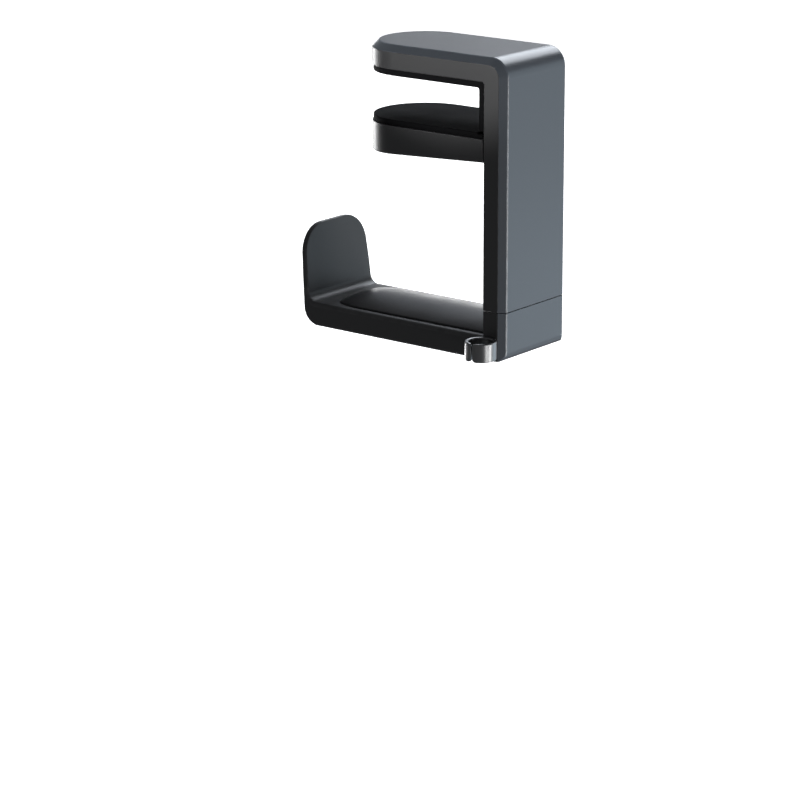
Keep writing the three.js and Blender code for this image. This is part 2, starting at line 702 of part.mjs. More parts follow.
/** Adds a screw whose head's underside is at place and whose head points along axis. */
function addScrew(name, place, axis, length, shankR = SCREW.shank) {
  const mesh = addPart(name, screw(shankR, length), steel, place);
  mesh.quaternion.setFromUnitVectors(new THREE.Vector3(0, 0, 1), new THREE.Vector3(...axis));
}

addPart('outer_cover', outerCover(), slateShell);
addPart('main_housing', mainHousing(), darkPlastic);
addPart('upper_pad', upperPad(), rubber);
addPart('steel_frame', steelFrame(), steel);
addPart('pivot_block', pivotBlock(), zinc);
[-1, 1].forEach((side) => {
  const hand = side < 0 ? 'left' : 'right';
  addPart(`guide_rod_${hand}`, guideRod(), steel, [ROD_X, side * ROD_Y, 0]);
  addPart(`jaw_spring_${hand}`, jawSpring(), steel, [ROD_X, side * ROD_Y, 0]);
  const armHead = [FRAME_ARM_SCREW.x, side * FRAME_ARM_SCREW.y, FRAME_TOP - SCREW.headHeight];
  addScrew(`frame_arm_screw_${hand}`, armHead, [0, 0, 1], 3.5);
  const spineHead = [
    FRAME_OUT_X - SCREW.headHeight, side * FRAME_SPINE_SCREW.y, FRAME_SPINE_SCREW.z,
  ];
  addScrew(`frame_spine_screw_${hand}`, spineHead, [1, 0, 0], 3);
});

addPart('lower_jaw', lowerJaw(), darkPlastic);
addPart('lower_pad', lowerPad(), rubber);
addPart('jaw_cover', jawCover(), darkPlastic);
addPart('jaw_stiffener', jawStiffener(), steel);
addPart('jaw_slider', jawSlider(), acetal);
[-1, 1].forEach((side) => {
  const hand = side < 0 ? 'left' : 'right';
  const head = [SPINE_X + 4, side * JAW_SCREW.y, JAW_SCREW.z];
  addScrew(`jaw_screw_${hand}`, head, [1, 0, 0], 7.5);
});
STIFFENER_SCREW.x.forEach((x, i) => {
  const head = [x, STIFFENER_SCREW.y, JAW_TOP - 4.5 - FIT];
  addScrew(`stiffener_screw_${i + 1}`, head, [0, 0, -1], 3.25);
});

addPart('hook_arm', hookArm(), hookPlastic);
addPart('saddle_pad', saddlePad(), saddleRubber);
addPart('hook_core', hookCore(), steel);
addPart('hook_cover', hookCover(), hookPlastic);
addPart('swivel_bush', ring(2.6, 3.25, SEAM_Z - 4.5, SEAM_Z - 1.25), acetal, [ROD_X, 0, 0]);
addPart('thrust_washer', ring(2.75, 4, SEAM_Z - 1, SEAM_Z), acetal, [ROD_X, 0, 0]);
addPart('wave_washer', waveWasher(), steel, [ROD_X, 0, SEAM_Z - 5.5]);
addPart('pivot_bolt', pivotBolt(), steel, [ROD_X, 0, SEAM_Z]);
CORE_SCREW_X.forEach((x, i) => {
  addScrew(`core_screw_${i + 1}`, [x, 0, -106.25 - FIT], [0, 0, -1], 3.5);
});
COVER_SCREW.x.forEach((x, i) => [-1, 1].forEach((side) => {
  const hand = side < 0 ? 'left' : 'right';
  const head = [x, side * COVER_SCREW.y, BASE_Z + SCREW.headHeight];
  addScrew(`cover_screw_${i + 1}_${hand}`, head, [0, 0, -1], 5.5);
}));
addPart('cable_clip', cableClip(), glossBlack);
addScrew('clip_screw', [CLIP.x, -HALF + WALL + FIT, CLIP_SCREW_Z], [0, 1, 0], 2.25, 0.75);

export default assembly;
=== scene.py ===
"""Looks of the desk-edge headphone hook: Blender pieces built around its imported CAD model."""

import math

import bmesh
import bpy
from mathutils import Matrix, Vector


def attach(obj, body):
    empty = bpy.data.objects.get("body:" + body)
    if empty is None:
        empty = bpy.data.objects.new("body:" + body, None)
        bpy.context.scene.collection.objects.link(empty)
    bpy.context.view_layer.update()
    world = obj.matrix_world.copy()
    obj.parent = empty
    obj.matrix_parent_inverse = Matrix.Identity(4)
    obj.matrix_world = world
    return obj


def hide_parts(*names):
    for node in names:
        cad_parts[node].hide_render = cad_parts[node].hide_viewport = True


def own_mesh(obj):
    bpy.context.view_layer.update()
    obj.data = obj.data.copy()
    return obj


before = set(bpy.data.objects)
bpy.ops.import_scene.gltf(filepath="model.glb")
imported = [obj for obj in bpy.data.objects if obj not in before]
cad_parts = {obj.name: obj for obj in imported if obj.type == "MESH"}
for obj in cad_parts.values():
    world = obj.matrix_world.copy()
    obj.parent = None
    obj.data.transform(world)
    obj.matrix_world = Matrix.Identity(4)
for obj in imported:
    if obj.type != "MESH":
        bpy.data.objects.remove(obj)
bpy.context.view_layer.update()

# ---------------------------------------------------------------- dimensions, in millimetres

MM = 0.001
HALF = 22.0  # half the width of every moulding
OUTER_X = 45.0  # the spine's outer face
CHAMFER = 2.75
RIM_X = OUTER_X - CHAMFER  # joint between cover and housing on the spine's sides
SPINE_X = 34.75  # the spine's face towards the desk
TOP_Z = 12.5
NOSE_X = -11.5  # centre of the round nose that the arm and the jaw share
SEAM_Z = -90.5  # foot of the spine
BASE_TOP = -90.8  # top of the swivel base, a thin seam below the spine
BASE_Z = -111.25  # underside of the base and the hook's arm
BEAM_TOP = -101.25  # top of the hook's arm, under the saddle
SLOT_HALF, SLOT_LOW, SLOT_HIGH = 12.0, -53.0, -20.0  # room round the jaw's slot in the spine
JAW_PAD_EDGE, JAW_FOOT = -21.0, -29.5  # the jaw's rim is above the first, its foot below the second

LEAN = math.radians(6)
PADDLE_TOP = -69.5
PADDLE_THICK = 2.75
PADDLE_CORNER_R = 13.0
PADDLE_HALF = 20.25
PADDLE_FOOT = (-60.5, -101.0)
HEEL_R = 7.5  # bend below the paddle, outside
THROAT_R = 4.0  # the same bend, inside
BASE_EDGE_R = 4.0
WALL = 2.0
COVER_THICK = 2.5
BEND = (37.0, 4.5)  # centre of the outer corner's arc, in the plane of the side
BEND_RIM_R = 5.25  # radius of the joint between cover and housing round that corner

PIVOT_X = 39.75  # the swivel bolt, with a guide rod on either side of it
BOLT_HOLE_R = 3.5
BUSH_HOLE_R = 4.25
ROD_Y = 16.25
SPRING_FOOT, SPRING_HEAD = -82.0, -34.0

SHARP = math.radians(30)  # edges under this angle belong to a curve and stay as they are
SEAM_R = 0.12  # rounding of edges along the seam
NEAR = 0.1  # how near a point counts as being on a face


# ---------------------------------------------------------------- mesh helpers


def new_object(name, bm, scale=MM):
    """Turns a bmesh in millimetres into an object in metres."""
    bmesh.ops.scale(bm, vec=(scale, scale, scale), verts=bm.verts)
    bmesh.ops.recalc_face_normals(bm, faces=bm.faces)
    mesh = bpy.data.meshes.new(name)
    bm.to_mesh(mesh)
    bm.free()
    obj = bpy.data.objects.new(name, mesh)
    bpy.context.scene.collection.objects.link(obj)
    return obj


def apply_modifiers(obj):
    bpy.context.view_layer.update()
    graph = bpy.context.evaluated_depsgraph_get()
    mesh = bpy.data.meshes.new_from_object(
        obj.evaluated_get(graph), preserve_all_data_layers=True, depsgraph=graph
    )
    obj.modifiers.clear()
    obj.data = mesh
    return obj


def combine(obj, tool, operation):
    """Joins a tool object to obj or cuts it away, and removes the tool."""
    boolean = obj.modifiers.new("boolean", "BOOLEAN")
    boolean.operation = operation
    boolean.solver = "EXACT"
    boolean.object = tool
    apply_modifiers(obj)
    bpy.data.objects.remove(tool)
    return obj


def from_cad(name, node):
    """A copy of a CAD node's mesh with its flat faces whole again, ready to be rounded."""
    bm = bmesh.new()
    bm.from_mesh(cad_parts[node].data)
    bmesh.ops.scale(bm, vec=(1 / MM, 1 / MM, 1 / MM), verts=bm.verts)
    bmesh.ops.remove_doubles(bm, verts=bm.verts, dist=0.002)
    bmesh.ops.dissolve_limit(
        bm, angle_limit=math.radians(0.6), verts=bm.verts, edges=bm.edges
    )
    return new_object(name, bm)


def soften(obj, radius_of, segments=3):
    """
    Rounds edges. radius_of(x, y, z, angle) gives an edge's radius in millimetres, or 0. The
    bevel puts its faces in a second material slot, which mark_edges turns into an attribute.
    """
    bm = bmesh.new()
    bm.from_mesh(obj.data)
    weight = bm.edges.layers.float.new("bevel_weight_edge")
    wanted = {}
    for edge in bm.edges:
        if len(edge.link_faces) != 2:
            continue
        angle = edge.calc_face_angle(0)
        if angle > SHARP:
            x, y, z = (edge.verts[0].co + edge.verts[1].co) / 2 / MM
            radius = radius_of(x, y, z, math.degrees(angle))
            if radius > 0:
                wanted[edge] = radius
    largest = max(wanted.values())
    for edge, radius in wanted.items():
        edge[weight] = radius / largest
    bm.to_mesh(obj.data)
    bm.free()
    bevel = obj.modifiers.new("bevel", "BEVEL")
    bevel.limit_method = "WEIGHT"
    bevel.width = largest * MM
    bevel.segments = segments
    bevel.use_clamp_overlap = False
    bevel.material = 1
    for slot in range(2):
        obj.data.materials.append(bpy.data.materials.new(f"{obj.name}_{slot}"))
    apply_modifiers(obj)
    mark_edges(obj)
    return obj


def mark_edges(obj):
    """Moves the rounded edges' faces from their own slot to a face attribute for wear."""
    mesh = obj.data
    worn = [float(face.material_index == 1) for face in mesh.polygons]
    attribute = mesh.attributes.new("edge", "FLOAT", "FACE")
    attribute.data.foreach_set("value", worn)
    mesh.polygons.foreach_set("material_index", [0] * len(mesh.polygons))
    mesh.materials.clear()


def smooth(obj, angle=40):
    mesh = obj.data
    mesh.polygons.foreach_set("use_smooth", [True] * len(mesh.polygons))
    mesh.set_sharp_from_angle(angle=math.radians(angle))
    weighted = obj.modifiers.new("normals", "WEIGHTED_NORMAL")
    weighted.keep_sharp = True
    return obj


def place_piece(obj, body, slot, material, *nodes):
    """Gives a finished mesh its material and body, and stands it for CAD nodes. The slot argument
    is not used.
    """
    obj.data.materials.clear()
    obj.data.materials.append(material)
    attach(obj, body)
    if nodes:
        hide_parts(*nodes)
    return obj


def prism(name, outline, levels, axis="Z"):
    """Stacks copies of an outline at levels along an axis into a closed solid."""
    bm = bmesh.new()
    put = {
        "Z": lambda a, b, level: (a, b, level),
        "Y": lambda a, b, level: (a, level, b),
        "X": lambda a, b, level: (level, a, b),
    }[axis]
    rings = [[bm.verts.new(put(a, b, level)) for a, b in outline] for level in levels]
    count = len(outline)
    for low, high in zip(rings, rings[1:]):
        for i in range(count):
            j = (i + 1) % count
            bm.faces.new((low[i], low[j], high[j], high[i]))
    bm.faces.new(rings[0])
    bm.faces.new(rings[-1])
    return new_object(name, bm)


def box(name, x, y, z):
    return prism(name, [(x[0], y[0]), (x[1], y[0]), (x[1], y[1]), (x[0], y[1])], z)


def disc(x, y, radius, sides=32):
    """Outline of a circle."""
    turns = [2 * math.pi * i / sides for i in range(sides)]
    return [(x + radius * math.cos(t), y + radius * math.sin(t)) for t in turns]


def closed_plate(name, rows, columns, edge_at, place, rim_radius, rim_steps=5):
    """
    A plate with rounded rims. edge_at(row, side, inset) gives a row's place along the plate
    and its two ends across it; place(along, across, side, depth) puts a point in space.
    """
    bm = bmesh.new()

    def vertex(row, column, side, inset, depth):
        along, low, high = edge_at(row, side, inset)
        across = low + (high - low) * column / columns
        return bm.verts.new(place(along, across, side, depth))

    def grid(side):
        return [
            [
                vertex(i, j, side, rim_radius(i, side), 0.0)
                for j in range(columns + 1)
            ]
            for i in range(rows)
        ]

    way_round = [(i, 0) for i in range(rows)]
    way_round += [(rows - 1, j) for j in range(1, columns + 1)]
    way_round += [(i, columns) for i in range(rows - 2, -1, -1)]
    way_round += [(0, j) for j in range(columns - 1, 0, -1)]
    faces = {side: grid(side) for side in ("in", "out")}
    for side in faces:
        for low, high in zip(faces[side], faces[side][1:]):
            for j in range(columns):
                bm.faces.new((low[j], low[j + 1], high[j + 1], high[j]))

    def ring(side, turn):
        loop = []
        for i, j in way_round:
            radius = rim_radius(i, side)
            inset = radius * (1 - math.sin(turn))
            loop.append(vertex(i, j, side, inset, radius * (1 - math.cos(turn))))
        return loop

    turns = [math.pi / 2 * k / rim_steps for k in range(1, rim_steps + 1)]
    rings = [[faces["in"][i][j] for i, j in way_round]]
    rings += [ring("in", turn) for turn in turns]
    rings += [ring("out", turn) for turn in reversed(turns)]
    rings.append([faces["out"][i][j] for i, j in way_round])
    edge = bm.faces.layers.float.new("edge")
    for k, (first, second) in enumerate(zip(rings, rings[1:])):
        for i in range(len(first)):
            j = (i + 1) % len(first)
            face = bm.faces.new((first[i], first[j], second[j], second[i]))
            face[edge] = float(k != rim_steps)
    return new_object(name, bm)


# ---------------------------------------------------------------- materials


class Nodes:
    """Builds one material's node tree."""

    def __init__(self, name):
        self.material = bpy.data.materials.new(name)
        self.material.use_nodes = True
        self.tree = self.material.node_tree
        self.shader = self.tree.nodes["Principled BSDF"]
        self.place = self.tree.nodes.new("ShaderNodeTexCoord").outputs["Object"]

    def link(self, source, target):
        self.tree.links.new(source, target)

    def noise(self, scale, detail=2.0, stretch=(1, 1, 1), roughness=0.5):
        mapping = self.tree.nodes.new("ShaderNodeMapping")
        mapping.inputs["Scale"].default_value = stretch
        self.link(self.place, mapping.inputs["Vector"])
        noise = self.tree.nodes.new("ShaderNodeTexNoise")
        noise.inputs["Scale"].default_value = scale
        noise.inputs["Detail"].default_value = detail
        noise.inputs["Roughness"].default_value = roughness
        self.link(mapping.outputs["Vector"], noise.inputs["Vector"])
        return noise.outputs["Fac"]

    def spread(self, value, low, high, start=0.3, end=0.7):
        """Maps a noise value between start and end to low and high."""
        span = self.tree.nodes.new("ShaderNodeMapRange")
        for key, number in zip(
            ("From Min", "From Max", "To Min", "To Max"), (start, end, low, high)
        ):
            span.inputs[key].default_value = number
        self.link(value, span.inputs["Value"])
        return span.outputs["Result"]

    def mix(self, factor, first, second):
        """Mixes two colours, each a socket or a tuple."""
        node = self.tree.nodes.new("ShaderNodeMix")
        node.data_type = "RGBA"
        self.link(factor, node.inputs["Factor"])
        for key, colour in (("A", first), ("B", second)):
            socket = next(
                s for s in node.inputs if s.name == key and s.type == "RGBA"
            )
            if isinstance(colour, tuple):
                socket.default_value = (*colour, 1)
            else:
                self.link(colour, socket)
        return next(s for s in node.outputs if s.type == "RGBA")

    def math(self, operation, first, second):
        node = self.tree.nodes.new("ShaderNodeMath")
        node.operation = operation
        for socket, value in zip(node.inputs, (first, second)):
            if isinstance(value, (int, float)):
                socket.default_value = value
            else:
                self.link(value, socket)
        return node.outputs["Value"]

    def edge(self):
        attribute = self.tree.nodes.new("ShaderNodeAttribute")
        attribute.attribute_name = "edge"
        return attribute.outputs["Fac"]

    def bump(self, height, distance, before=None):
        bump = self.tree.nodes.new("ShaderNodeBump")
        bump.inputs["Distance"].default_value = distance
        self.link(height, bump.inputs["Height"])
        if before is not None:
            self.link(before, bump.inputs["Normal"])
        return bump.outputs["Normal"]

    def set(self, **values):
        for key, value in values.items():
            socket = self.shader.inputs[key.replace("_", " ")]
            if isinstance(value, bpy.types.NodeSocket):
                self.link(value, socket)
            else:
                socket.default_value = value


def lighter(colour, factor):
    """A colour multiplied by a factor, at most white."""
    return tuple(min(1.0, c * factor) for c in colour)


def plastic(
    name, colour, rough, grain=2200, grain_height=0.012, wear=1.5, specular=0.5, coat=0.0
):
    """
    Moulded plastic: spark-eroded grain, faint smudges and rubbed edges. rough is 0.296 or more,
    because the denoiser draws a contour line where the spread roughness passes 0.274.
    """
    nodes = Nodes(name)
    smudge = nodes.noise(38, 2)
    flow = nodes.noise(9, 3, (1, 1, 0.35))
    grain_noise = nodes.noise(grain, 2)
    shade = nodes.mix(
        nodes.spread(flow, 0, 1), lighter(colour, 0.94), lighter(colour, 1.06)
    )
    fine = nodes.mix(
        nodes.spread(grain_noise, 0, 0.5, 0.35, 0.65), shade, lighter(colour, 1.05)
    )
    rubbed = nodes.math(
        "MULTIPLY", nodes.edge(), nodes.spread(nodes.noise(240, 3), 0.2, 0.9, 0.4, 0.7)
    )
    colour_out = nodes.mix(rubbed, fine, lighter(colour, wear))
    polish = nodes.math("MULTIPLY", rubbed, 0.01)
    roughness = nodes.math(
        "SUBTRACT", nodes.spread(smudge, rough - 0.012, rough + 0.02, 0.2, 0.8), polish
    )
    normal = nodes.bump(grain_noise, grain_height * MM)
    nodes.set(Base_Color=colour_out, Roughness=roughness, Normal=normal)
    nodes.set(Specular_IOR_Level=specular, Coat_Weight=coat, Coat_Roughness=0.34)
    return nodes.material


def rubber(name, colour, rough, pore=900, pore_height=0.03, specular=0.2):
    """Soft rubber: a dry, finely pitted skin with dust in its pores."""
    nodes = Nodes(name)
    pores = nodes.noise(pore, 3)
    cloud = nodes.noise(60, 4)
    dust = nodes.mix(
        nodes.spread(cloud, 0, 1), lighter(colour, 0.85), lighter(colour, 1.25)
    )
    shade = nodes.mix(
        nodes.spread(pores, 0, 0.4, 0.4, 0.7), dust, lighter(colour, 1.5)
    )
    normal = nodes.bump(pores, pore_height * MM)
    nodes.set(
        Base_Color=shade,
        Roughness=nodes.spread(cloud, rough - 0.05, rough + 0.05),
        Normal=normal,
    )
    nodes.set(Specular_IOR_Level=specular)
    return nodes.material


def metal(name, colour, rough, grain, stretch, height):
    """Plated or cast metal: a directional or cloudy grain in colour and gloss."""
    nodes = Nodes(name)
    grain_noise = nodes.noise(grain, 4, stretch)
    stain = nodes.noise(90, 4)
    shade = nodes.mix(
        nodes.spread(stain, 0, 1), lighter(colour, 0.82), lighter(colour, 1.08)
    )
    roughness = nodes.spread(grain_noise, rough - 0.08, rough + 0.1)
    nodes.set(Base_Color=shade, Roughness=roughness, Metallic=1.0)
    nodes.set(Normal=nodes.bump(grain_noise, height * MM))
    return nodes.material


SHELL = (0.046, 0.053, 0.063)
HOUSING = (0.032, 0.032, 0.033)
HOOK = (0.033, 0.033, 0.034)
PAD = (0.0045, 0.0045, 0.005)
SADDLE = (0.012, 0.012, 0.013)
CLIP = (0.02, 0.0205, 0.022)
ZINC = (0.55, 0.56, 0.58)
CASTING = (0.42, 0.43, 0.45)
ACETAL = (0.72, 0.7, 0.65)

shell_plastic = plastic("shell_plastic", SHELL, 0.298, grain_height=0.008, wear=2.2)
housing_plastic = plastic("housing_plastic", HOUSING, 0.36, specular=0.35)
hook_plastic = plastic("hook_plastic", HOOK, 0.4, specular=0.28)
pad_rubber = rubber("pad_rubber", PAD, 0.85, specular=0.08)
saddle_rubber = rubber("saddle_rubber", SADDLE, 0.33, pore=1500, pore_height=0.02, specular=0.3)
clip_plastic = plastic(
    "clip_plastic", CLIP, 0.32, grain=700, grain_height=0.004, wear=2.0, specular=1.0, coat=1.0
)
steel = metal("zinc_plated_steel", ZINC, 0.32, grain=900, stretch=(1, 0.15, 1), height=0.006)
casting = metal("cast_zinc", CASTING, 0.5, grain=700, stretch=(1, 1, 1), height=0.03)
acetal = plastic("acetal", ACETAL, 0.45, grain=900, grain_height=0.006, wear=1.05)


# ---------------------------------------------------------------- clamp mouldings


def cover_radius(x, y, z, angle):
    """Soft edges beside the chamfer, fine ones at its thin rim and along the seam."""
    if angle < 60:
        return 0.5
    if angle > 120:
        return 0.2
    return SEAM_R if z < SEAM_Z + NEAR and x > RIM_X - 0.5 else 0


def on_rim(x, y, tolerance=0.4):
    """Whether a point is on the outline of the arm: a straight side or the round nose."""
    if x > NOSE_X:
        return abs(abs(y) - HALF) < tolerance
    return abs(math.hypot(x - NOSE_X, y) - HALF) < tolerance


def housing_radius(x, y, z, angle):
    """Fine edges at the joint with the cover and the seam, softer ones elsewhere outside."""
    on_spine = abs(x - SPINE_X) < NEAR
    round_bend = x > BEND[0] and z > BEND[1]
    joint = (
        abs(z - (TOP_Z - CHAMFER)) < NEAR
        or abs(x - RIM_X) < NEAR
        or (round_bend and abs(math.dist((x, z), BEND) - BEND_RIM_R) < NEAR)
    )
    if on_rim(x, y):
        if z < SEAM_Z + NEAR:
            return SEAM_R
        return 0.2 if joint else 0.5
    round_slot = abs(y) < SLOT_HALF and SLOT_LOW < z < SLOT_HIGH
    return 0.3 if on_spine and (round_slot or z < SEAM_Z + NEAR) else 0


def jaw_radius(x, y, z, angle):
    """Round edges under the jaw, finer ones at its pad and its cover plate."""
    beside_spine = x > SPINE_X - 0.35 and abs(y) > HALF - 0.5
    if not (on_rim(x, y) or beside_spine):
        return 0.2 if z < JAW_FOOT else 0
    if z > JAW_PAD_EDGE:
        return 0.3
    return 0.9 if z < JAW_FOOT else 0.5


cover = smooth(soften(from_cad("cover_shell", "outer_cover"), cover_radius))
place_piece(cover, "clamp", "shell", shell_plastic, "outer_cover")

housing = smooth(soften(from_cad("housing_body", "main_housing"), housing_radius))
place_piece(housing, "clamp", "housing", housing_plastic, "main_housing")

lining = smooth(soften(from_cad("lining_pad", "upper_pad"), lambda *at: 0.4))
place_piece(lining, "clamp", "pad", pad_rubber, "upper_pad")

jaw = smooth(soften(from_cad("jaw_body", "lower_jaw"), jaw_radius))
place_piece(jaw, "jaw", "housing", housing_plastic, "lower_jaw")

jaw_pad = smooth(soften(from_cad("jaw_pad", "lower_pad"), lambda *at: 0.35))
place_piece(jaw_pad, "jaw", "pad", pad_rubber, "lower_pad")

jaw_plate = smooth(soften(from_cad("jaw_plate", "jaw_cover"), lambda *at: 0.2))
place_piece(jaw_plate, "jaw", "housing", housing_plastic, "jaw_cover")


# ---------------------------------------------------------------- hook


def arc(centre, radius, start, end, steps):
    """Points on an arc in a vertical plane, both ends included, with angles in degrees."""
    turns = [math.radians(start + (end - start) * i / steps) for i in range(steps + 1)]
    return [
        (centre[0] + radius * math.cos(t), centre[1] + radius * math.sin(t)) for t in turns
    ]


def along_line(points):
    """Running length at each point of a line."""
    lengths = [0.0]
    for a, b in zip(points, points[1:]):
        lengths.append(lengths[-1] + math.dist(a, b))
    return lengths


def at_length(points, lengths, length):
    """
    The point of a line at a running length, going straight on past either end. The lengths
    are its own, or those of a line beside it with as many points.
    """
    i = 0
    while i < len(points) - 2 and lengths[i + 1] < length:
        i += 1
    share = (length - lengths[i]) / (lengths[i + 1] - lengths[i])
    return tuple(a + (b - a) * share for a, b in zip(points[i], points[i + 1]))


def paddle_x(depth, z):
    """X of the paddle's face at a height, moved in from the outer face by depth."""
    x, foot_z = PADDLE_FOOT
    return x + depth / math.cos(LEAN) - (z - foot_z) * math.tan(LEAN)


def corner_centre(depth, radius, z):
    return paddle_x(depth + radius, z), z


def hook_section():
    """Matching points along the hook's inner and outer sides, from the base to the paddle."""
    steps, heel_steps, beam_rows = 18, 24, 10
    throat = corner_centre(PADDLE_THICK, THROAT_R, BEAM_TOP + THROAT_R)
    heel = corner_centre(0, HEEL_R, BASE_Z + HEEL_R)
    lean = math.degrees(LEAN)
    bend_in = arc(throat, THROAT_R, 270, 180 + lean, steps)
    end_in = bend_in[-1]
    end_out = (
        end_in[0] - PADDLE_THICK * math.cos(LEAN),
        end_in[1] - PADDLE_THICK * math.sin(LEAN),
    )
    outer = [(throat[0], BASE_Z), *arc(heel, HEEL_R, 270, 180 + lean, heel_steps), end_out]
    outer_lengths = along_line(outer)
    share = [i / steps for i in range(steps + 1)]
    bend_out = [at_length(outer, outer_lengths, outer_lengths[-1] * s) for s in share]
    beam_x = [SPINE_X - (SPINE_X - throat[0]) * i / beam_rows for i in range(beam_rows)]
    inner = [(x, BEAM_TOP) for x in beam_x] + bend_in
    outer = [(x, BASE_Z) for x in beam_x] + bend_out
    rise = (PADDLE_TOP - end_in[1]) / math.cos(LEAN)
    up = (-math.sin(LEAN), math.cos(LEAN))
    for share in (0.25, 0.5, 0.75, 1.0):
        inner.append(tuple(p + u * rise * share for p, u in zip(end_in, up)))
        outer.append(tuple(p + u * rise * share for p, u in zip(end_out, up)))
    return inner, outer


def hook_bar():
    """Arm, bend and paddle in one plate that thins from the arm to the paddle."""
    inner, outer = hook_section()
    lengths = along_line(inner)
    corner_s = lengths[-1] - PADDLE_CORNER_R
    corner_steps = 12
    straight = [s for s in lengths if s < corner_s - 0.5] + [corner_s]
    rows = len(straight) + corner_steps

    def half_width(length):
        z = at_length(inner, lengths, length)[1]
        share = (z - BEAM_TOP) / (PADDLE_TOP - PADDLE_CORNER_R - BEAM_TOP)
        return HALF + (PADDLE_HALF - HALF) * min(max(share, 0), 1)

    def row_length(row):
        return straight[min(row, len(straight) - 1)]

    def edge_at(row, side, inset):
        length = row_length(row)
        half = half_width(length)
        if row < len(straight):
            return length, inset - half, half - inset
        turn = math.pi / 2 * (row - len(straight) + 1) / corner_steps
        reach = PADDLE_CORNER_R - inset
        half = PADDLE_HALF - PADDLE_CORNER_R + reach * math.cos(turn)
        return corner_s + reach * math.sin(turn), -half, half

    def place(length, across, side, depth):
        a, b = at_length(inner, lengths, length), at_length(outer, lengths, length)
        thick = math.dist(a, b)
        share = depth / thick if side == "in" else 1 - depth / thick
        return (
            a[0] + (b[0] - a[0]) * share,
            across,
            a[1] + (b[1] - a[1]) * share,
        )

    def rim_radius(row, side):
        """Goes from the arm's radius to the paddle's over the first part of the rise."""
        fade = 12
        z = at_length(inner, lengths, row_length(row))[1]
        share = min(max((z - BEAM_TOP) / fade, 0), 1)
        on_arm, on_paddle = (1.8, 0.6) if side == "in" else (1.2, 0.9)
        return on_arm + (on_paddle - on_arm) * share

    return closed_plate("hook_body", rows, 16, edge_at, place, rim_radius)


def swivel_base():
    """Block under the spine, chamfered like the cover above it, with a round bottom edge."""
    centre = (OUTER_X - BASE_EDGE_R, BASE_Z + BASE_EDGE_R)
    edge = arc(centre, BASE_EDGE_R, -90, 0, 16)
    outline = [(SPINE_X, BASE_TOP), (SPINE_X, BASE_Z), *edge, (OUTER_X, BASE_TOP)]
    base = prism("swivel_base", outline, (-HALF, HALF), "Y")
    flat = HALF - CHAMFER
    for side in (-1, 1):
        corner = [(RIM_X, side * HALF), (OUTER_X, side * flat), (OUTER_X + 1, side * (HALF + 1))]
        combine(base, prism("corner", corner, (BASE_Z - 1, BASE_TOP + 1)), "DIFFERENCE")

    def radius(x, y, z, angle):
        if z > BASE_TOP - NEAR:
            return SEAM_R
        if x < SPINE_X + NEAR:
            return 0.5 if z > BEAM_TOP else 0
        if z < BASE_Z + NEAR and abs(y) < flat:
            return 0
        return 1.2 if z < BASE_Z + BASE_EDGE_R - NEAR and abs(y) > HALF - NEAR else 0.5

    return soften(base, radius, 5)


def cavity():
    """
    Hollow of the hook, open below for its cover plate. Bosses stand in it for the plate's
    screws and the core's, and its outer corners follow the chamfers.
    """
    inside = HALF - WALL
    tip_x, end_x = -50, OUTER_X - BASE_EDGE_R - 1.5
    plate_top, core_top = BASE_Z + COVER_THICK, -104
    corner_size, boss_r, boss_top = 3, 3, BEAM_TOP - 1
    room = box("cavity", (tip_x, end_x), (-inside, inside), (BASE_Z - 1, BEAM_TOP - WALL))
    base_x = (SPINE_X + 1.75, OUTER_X - WALL)
    combine(room, box("cavity_base", base_x, (-inside, inside), (plate_top, SEAM_Z - 4.5)), "UNION")
    for side in (-1, 1):
        y = sorted((side * (HALF - corner_size), side * HALF))
        corner = box("corner", (OUTER_X - corner_size, OUTER_X), y, (plate_top, SEAM_Z))
        combine(room, corner, "DIFFERENCE")
    plate_bosses = [(x, y, plate_top) for x in (-34, 22) for y in (-16, 16)]
    core_bosses = [(x, 0, core_top) for x in (-22, 12)]
    for x, y, low in plate_bosses + core_bosses:
        combine(room, prism("boss", disc(x, y, boss_r), (low, boss_top)), "DIFFERENCE")
    return room


hook = hook_bar()
combine(hook, swivel_base(), "UNION")
combine(hook, cavity(), "DIFFERENCE")
for low, high, radius in (
    (SEAM_Z - 6, SEAM_Z, BOLT_HOLE_R),
    (SEAM_Z - 1, SEAM_Z, BUSH_HOLE_R),
    (BASE_Z + COVER_THICK + 1, SEAM_Z - 4.4, BUSH_HOLE_R),
):
    combine(hook, prism("bore", disc(PIVOT_X, 0, radius), (low, high)), "DIFFERENCE")
smooth(hook)
place_piece(hook, "hook", "hook", hook_plastic, "hook_arm")
# The base's outer face and its chamfers are in the cover's colour.
hook.data.materials.append(shell_plastic)
for face in hook.data.polygons:
    x, y, z = face.center / MM
    face.material_index = int(x > RIM_X + 0.05 and z > BASE_Z)

hook_plate = smooth(soften(from_cad("hook_plate", "hook_cover"), lambda *at: 0.2))
place_piece(hook_plate, "hook", "hook", hook_plastic, "hook_cover")


